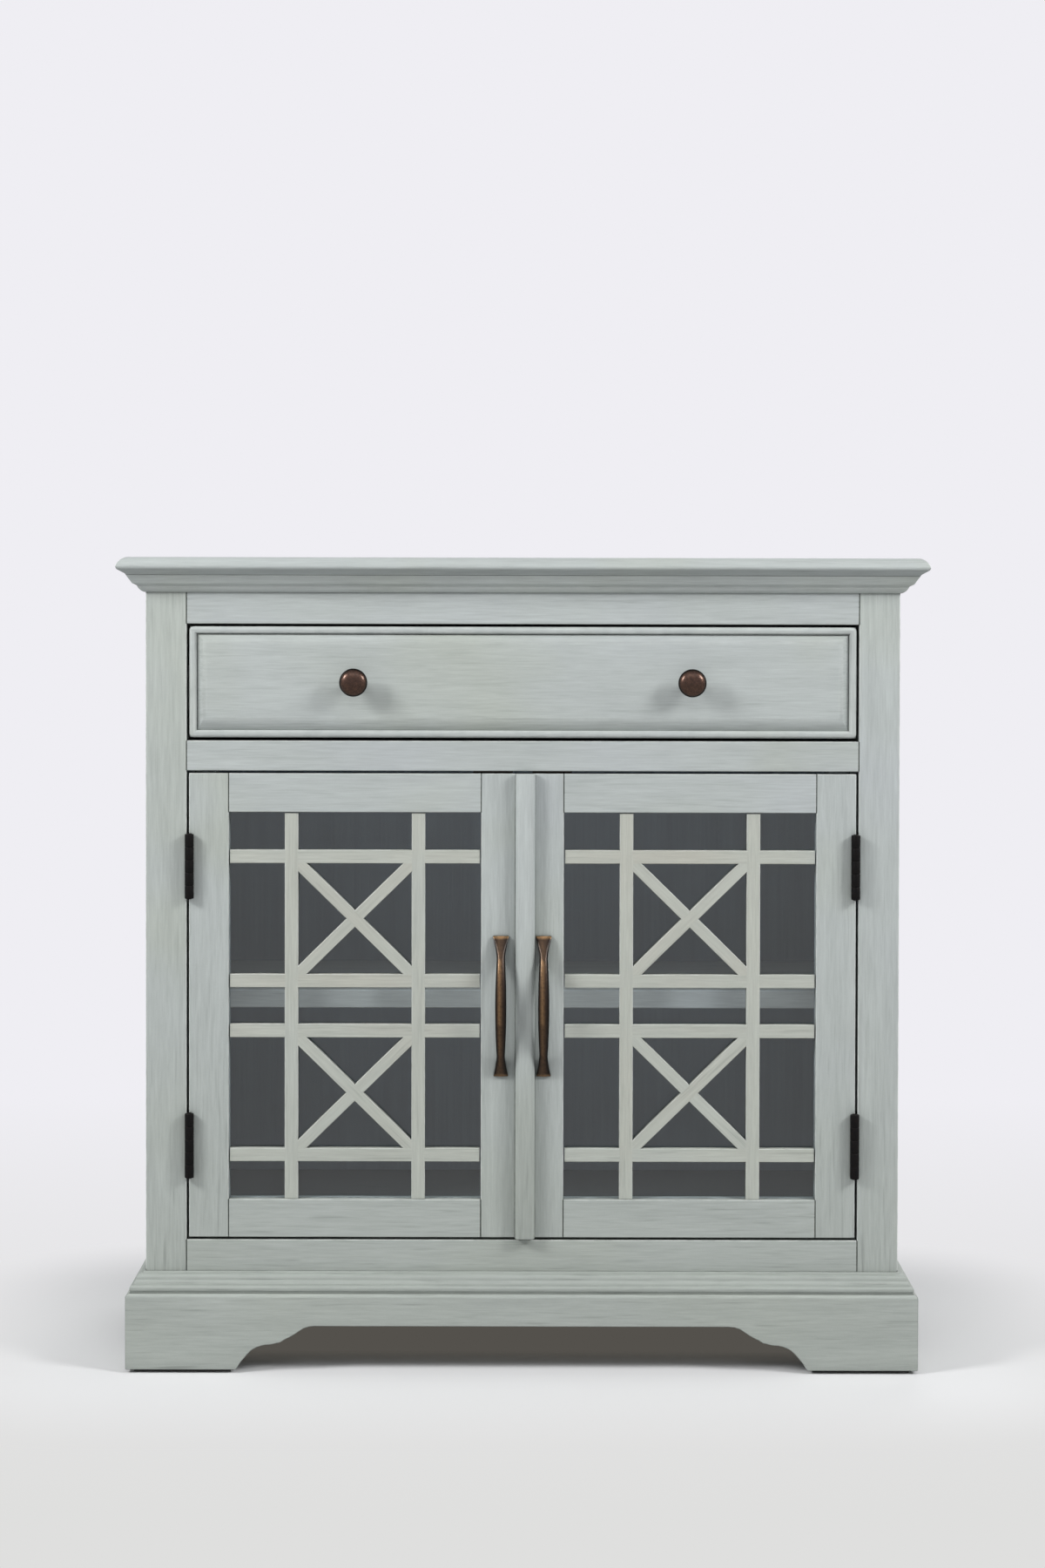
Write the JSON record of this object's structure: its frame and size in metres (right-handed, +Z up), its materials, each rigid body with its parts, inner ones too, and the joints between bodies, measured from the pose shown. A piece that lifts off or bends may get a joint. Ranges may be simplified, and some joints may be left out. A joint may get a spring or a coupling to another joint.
{
  "type": "accent chest",
  "caption": "Painted accent chest with a wide drawer over a cupboard with glazed lattice doors, moulded top and bracket-foot plinth.",
  "frame": {"origin": "middle of the chest's width and depth, on the floor under the foot pads", "axes": "+X to the right seen from the front, +Y from the front to the back, +Z up"},
  "size_m": [0.8128, 0.3556, 0.819],
  "materials": {
    "painted_wood": "grey-green satin paint with a brushed darker glaze",
    "inner_wood": "thin matt grey paint",
    "drawer_wood": "clear matt lacquer",
    "zinc_steel": "zinc plated",
    "black_metal": "satin black",
    "antique_bronze": "dark antique bronze with rubbed edges",
    "clear_glass": "clear float glass",
    "catch_plastic": "brown",
    "pad_rubber": "black"
  },
  "bodies": {
    "case": {"top_board": "painted_wood", "crown_moulding": "painted_wood", "front_left_post": "painted_wood", "front_right_post": "painted_wood", "back_left_post": "painted_wood", "back_right_post": "painted_wood", "front_top_rail": "painted_wood", "front_middle_rail": "painted_wood", "front_bottom_rail": "painted_wood", "side_rails": "painted_wood", "left_side_panel": "painted_wood", "right_side_panel": "painted_wood", "front_plinth": "painted_wood", "left_plinth": "painted_wood", "right_plinth": "painted_wood", "base_moulding": "painted_wood", "shelf": "painted_wood", "cabinet_floor": "painted_wood", "back_panel": "inner_wood", "back_rails": "inner_wood", "dust_panel": "inner_wood", "corner_blocks": "inner_wood", "runner_cleats": "inner_wood", "slide_outer_members": "zinc_steel", "case_screws": "zinc_steel", "shelf_pins": "zinc_steel", "foot_pads": "pad_rubber", "door_catches": "catch_plastic", "hinge_frame_leaves": "black_metal", "hinge_pins": "black_metal"},
    "drawer": {"drawer_front": "painted_wood", "drawer_front_bead": "painted_wood", "drawer_sides": "drawer_wood", "drawer_back": "drawer_wood", "drawer_bottom": "drawer_wood", "drawer_knobs": "antique_bronze", "slide_inner_members": "zinc_steel", "drawer_screws": "zinc_steel"},
    "slide_middles": {"slide_middle_members": "zinc_steel"},
    "left_door": {"left_door_hinge_stile": "painted_wood", "left_door_meeting_stile": "painted_wood", "left_door_top_rail": "painted_wood", "left_door_bottom_rail": "painted_wood", "left_door_lattice": "painted_wood", "left_door_glass": "clear_glass", "left_door_glass_beads": "painted_wood", "left_door_handle": "antique_bronze", "left_door_hinge_leaves": "black_metal", "left_door_fixings": "zinc_steel"},
    "right_door": {"right_door_hinge_stile": "painted_wood", "right_door_meeting_stile": "painted_wood", "right_door_top_rail": "painted_wood", "right_door_bottom_rail": "painted_wood", "right_door_lattice": "painted_wood", "right_door_glass": "clear_glass", "right_door_glass_beads": "painted_wood", "right_door_handle": "antique_bronze", "right_door_hinge_leaves": "black_metal", "right_door_fixings": "zinc_steel", "right_door_cover_strip": "painted_wood"}
  },
  "joints": [
    {"name": "drawer_slide", "type": "slide", "parent": "case", "child": "drawer", "axis": [0, -1, 0], "range_m": [0, 0.25]},
    {"name": "slide_middles_travel", "type": "slide", "parent": "case", "child": "slide_middles", "axis": [0, -1, 0], "range_m": [0, 0.125]},
    {"name": "left_door_hinge", "type": "hinge", "parent": "case", "child": "left_door", "pos_m": [-0.3351, -0.1556, 0.3676], "axis": [0, 0, -1], "range_deg": [0, 175]},
    {"name": "right_door_hinge", "type": "hinge", "parent": "case", "child": "right_door", "pos_m": [0.3351, -0.1556, 0.3676], "axis": [0, 0, 1], "range_deg": [0, 175]}
  ],
  "couplings": [
    {"joint": "slide_middles_travel", "follows": "drawer_slide", "ratio": 0.5}
  ]
}
